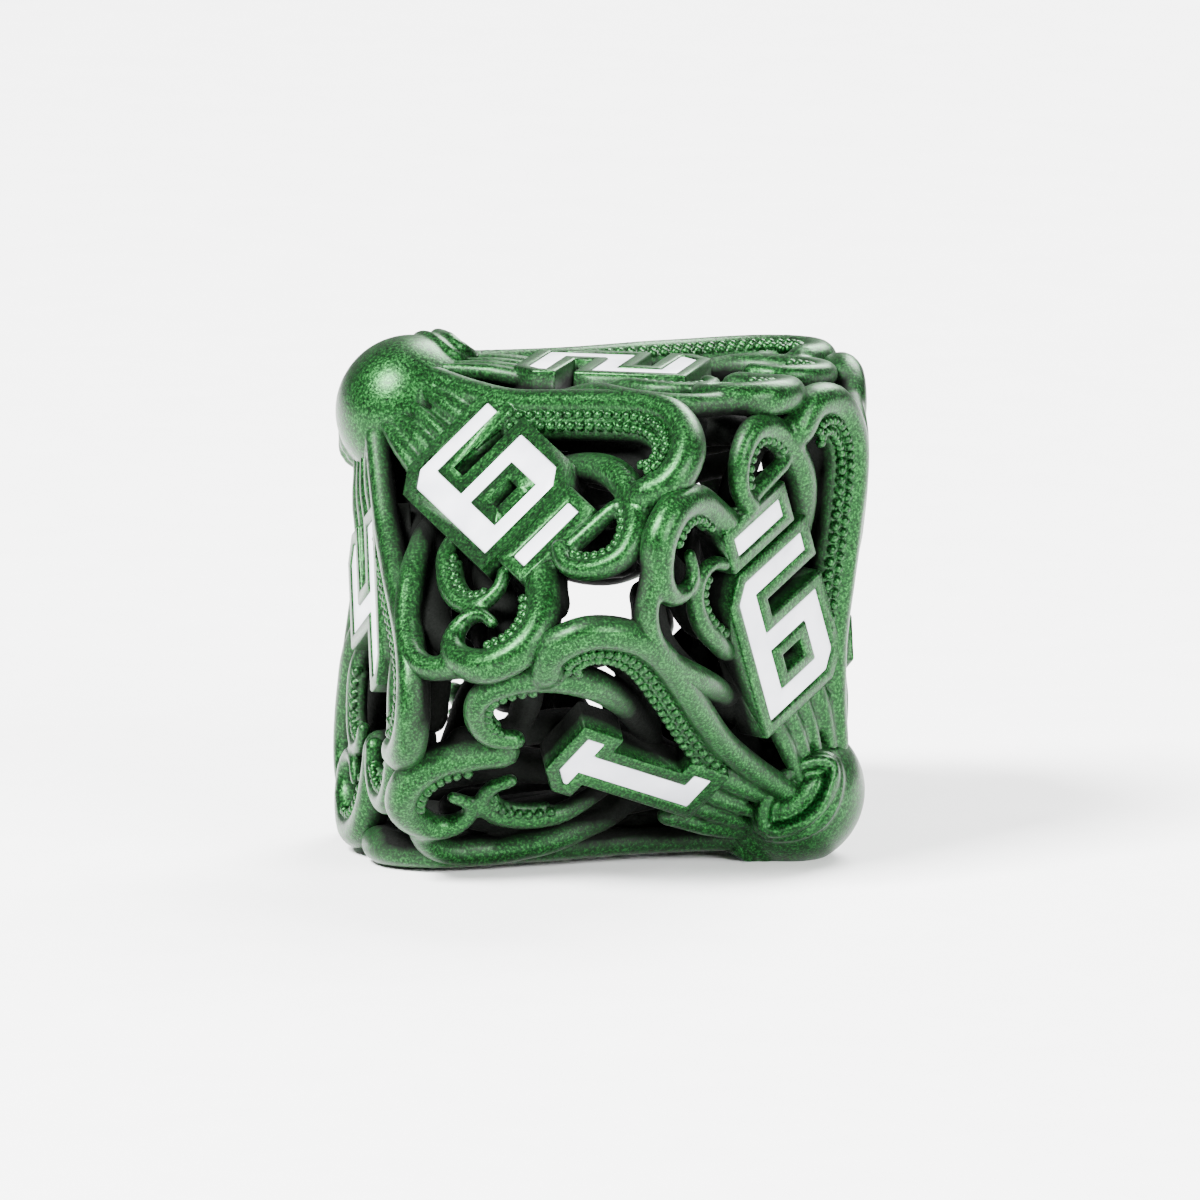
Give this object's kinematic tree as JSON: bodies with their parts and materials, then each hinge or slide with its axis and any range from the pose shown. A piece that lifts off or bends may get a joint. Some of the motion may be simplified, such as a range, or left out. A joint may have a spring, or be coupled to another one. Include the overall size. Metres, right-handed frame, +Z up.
{
  "type": "ten-sided die",
  "caption": "Hollow ten-sided gaming die cast as two octopuses back to back, with raised number frames filled with white enamel.",
  "frame": {"origin": "on the rest plane, under the die's centre, with the die lying on its number 7", "axes": "+Z up, out of the top face (number 2); the octopus head over the even numbers points to -X and up; +Y across the pole axis, away from the pictured side"},
  "size_m": [0.0192, 0.0244, 0.0172],
  "materials": {
    "green_casting": "zinc alloy casting with metallic green lacquer, dark wash in the recesses, bright worn edges",
    "white_enamel": "smooth white enamel, filled into the number pockets and polished"
  },
  "bodies": {
    "root": {"upper_head": "green_casting", "lower_head": "green_casting", "panel_0": "green_casting", "panel_1": "green_casting", "panel_2": "green_casting", "panel_3": "green_casting", "panel_4": "green_casting", "panel_5": "green_casting", "panel_6": "green_casting", "panel_7": "green_casting", "panel_8": "green_casting", "panel_9": "green_casting", "enamel_0": "white_enamel", "enamel_1": "white_enamel", "enamel_2": "white_enamel", "enamel_3": "white_enamel", "enamel_4": "white_enamel", "enamel_5": "white_enamel", "enamel_6": "white_enamel", "enamel_7": "white_enamel", "enamel_8": "white_enamel", "enamel_9": "white_enamel", "enamel_bar_6": "white_enamel", "enamel_bar_9": "white_enamel"}
  },
  "joints": []
}
